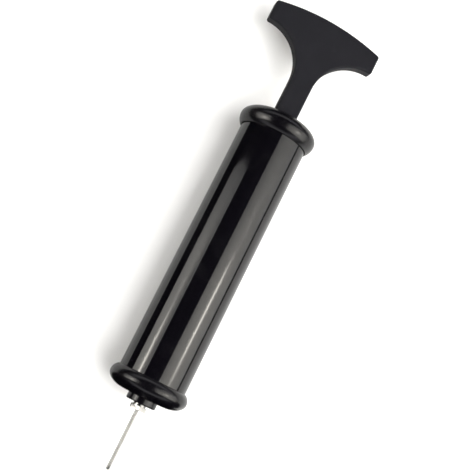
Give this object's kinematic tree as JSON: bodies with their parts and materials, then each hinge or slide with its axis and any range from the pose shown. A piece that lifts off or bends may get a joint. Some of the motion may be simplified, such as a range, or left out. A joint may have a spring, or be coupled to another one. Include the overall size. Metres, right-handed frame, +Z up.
{
  "type": "ball inflation pump",
  "caption": "Hand pump with a T-grip, a straight barrel between two bead-shaped caps and a screw-in inflating needle.",
  "frame": {"origin": "on the surface that the pump lies on, under the middle of its length and width", "axes": "+Y along the pump's axis from the needle to the handle, X across the T-grip, +Z up from the surface"},
  "size_m": [0.062, 0.2566, 0.042],
  "materials": {
    "barrel_gloss": "polished black moulding",
    "cap_gloss": "polished black moulding",
    "handle_matte": "fine spark-eroded black moulding",
    "inner_plastic": "natural white moulding",
    "seal_rubber": "plain black rubber",
    "insert_brass": "turned",
    "spring_steel": "drawn wire",
    "ball_steel": "ground and polished",
    "needle_nickel": "nickel plated",
    "washer_steel": "zinc plated"
  },
  "bodies": {
    "barrel_assembly": {"barrel": "barrel_gloss", "bottom_cap": "cap_gloss", "barrel_gasket": "seal_rubber", "top_cap": "cap_gloss", "rod_guide": "inner_plastic", "rod_wiper": "seal_rubber", "nozzle_body": "cap_gloss", "nozzle_o_ring": "seal_rubber", "nozzle_insert": "insert_brass", "valve_seat": "inner_plastic", "valve_spring": "spring_steel"},
    "plunger": {"handle_rod": "handle_matte", "piston_carrier": "inner_plastic", "bumper_ring": "seal_rubber", "cup_seal": "seal_rubber", "backing_washer": "washer_steel", "piston_screw": "washer_steel"},
    "check_ball": {"valve_ball": "ball_steel"},
    "needle_washer": {"needle_gasket": "seal_rubber"},
    "needle": {"needle_hub": "needle_nickel", "needle_tube": "needle_nickel"}
  },
  "joints": [
    {"name": "plunger_slide", "type": "slide", "parent": "barrel_assembly", "child": "plunger", "axis": [0, 1, 0], "range_m": [0, 0.119]},
    {"name": "check_lift", "type": "slide", "parent": "barrel_assembly", "child": "check_ball", "axis": [0, -1, 0], "range_m": [0, 0.0014], "stiffness_N_per_m": 60, "springref_m": -0.001, "deforming": ["valve_spring"]},
    {"name": "needle_travel", "type": "slide", "parent": "barrel_assembly", "child": "needle_washer", "axis": [0, -1, 0], "range_m": [0, 0.00515]},
    {"name": "needle_unscrew", "type": "hinge", "parent": "needle_washer", "child": "needle", "pos_m": [0, -0.09465, 0.021], "axis": [0, -1, 0], "range_deg": [0, 2340]}
  ],
  "couplings": [
    {"joint": "needle_unscrew", "follows": "needle_travel", "rad_per_m": 7915.8}
  ]
}
